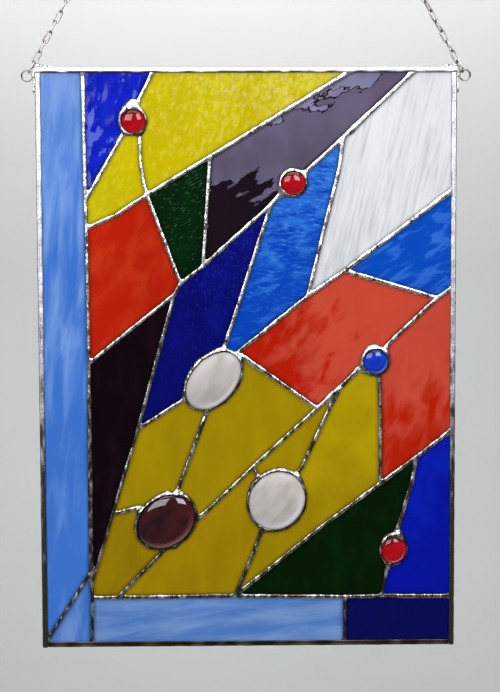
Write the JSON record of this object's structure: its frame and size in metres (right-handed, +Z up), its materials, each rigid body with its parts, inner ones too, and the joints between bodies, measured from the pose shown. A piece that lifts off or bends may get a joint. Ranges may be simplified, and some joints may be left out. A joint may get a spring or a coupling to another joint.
{
  "type": "stained glass window",
  "caption": "Hanging stained glass window: angular coloured panes with round and oval glass nuggets in soldered seams, a metal border, two corner rings, and two runs of chain that meet in a top ring.",
  "frame": {"origin": "the highest point inside the top ring, where a hook carries the window", "axes": "+Z up; the front of the panel, with the domes of the nuggets, faces -Y; +X is to the right as the front is seen"},
  "size_m": [0.2988, 0.0086, 0.6604],
  "materials": {
    "glass_sky": "wispy light blue glass, glossy",
    "glass_cobalt": "cobalt blue hammered glass, glossy",
    "glass_yellow": "mottled yellow glass, glossy",
    "glass_green": "very dark green glass, glossy",
    "glass_purple": "veined purple glass, glossy",
    "glass_white": "ribbed white glass, glossy",
    "glass_blue": "rippled blue glass, glossy",
    "glass_navy": "navy blue glass, glossy",
    "glass_red": "orange red glass, glossy",
    "glass_maroon": "nearly black maroon glass, glossy",
    "glass_gold": "mustard gold glass with faint streaks, glossy",
    "nugget_ruby": "clear ruby glass, polished by the fire",
    "nugget_sapphire": "clear sapphire blue glass, polished by the fire",
    "nugget_pearl": "milky pearl glass, polished by the fire",
    "nugget_amethyst": "dark amethyst glass, polished by the fire",
    "solder": "bright tin solder, uneven, with dark flecks",
    "border_came": "grey metal came, tinned with solder",
    "chain_wire": "plated steel wire"
  },
  "bodies": {
    "root": {"pane_strip_left": "glass_sky", "pane_wedge_corner": "glass_sky", "pane_strip_bottom": "glass_sky", "pane_navy_bottom": "glass_navy", "pane_cobalt_top": "glass_cobalt", "pane_yellow_small": "glass_yellow", "pane_yellow_large": "glass_yellow", "pane_green_upper": "glass_green", "pane_purple": "glass_purple", "pane_white": "glass_white", "pane_blue_slope": "glass_blue", "pane_navy_middle": "glass_navy", "pane_red_left": "glass_red", "pane_maroon": "glass_maroon", "pane_blue_kite": "glass_blue", "pane_red_middle": "glass_red", "pane_red_right": "glass_red", "pane_gold_left": "glass_gold", "pane_gold_middle": "glass_gold", "pane_gold_wedge": "glass_gold", "pane_gold_right": "glass_gold", "pane_gold_bottom": "glass_gold", "pane_gold_corner": "glass_gold", "pane_green_lower": "glass_green", "pane_cobalt_right": "glass_cobalt", "nugget_ruby_upper": "nugget_ruby", "nugget_ruby_middle": "nugget_ruby", "nugget_ruby_lower": "nugget_ruby", "nugget_sapphire": "nugget_sapphire", "nugget_pearl_long": "nugget_pearl", "nugget_pearl_round": "nugget_pearl", "nugget_amethyst": "nugget_amethyst", "solder": "solder", "came_top": "border_came", "came_left": "border_came", "came_right": "border_came", "came_bottom": "border_came", "corner_ring_left": "chain_wire", "corner_ring_right": "chain_wire", "chain_left": "chain_wire", "chain_right": "chain_wire", "hook_ring": "chain_wire"}
  },
  "joints": []
}
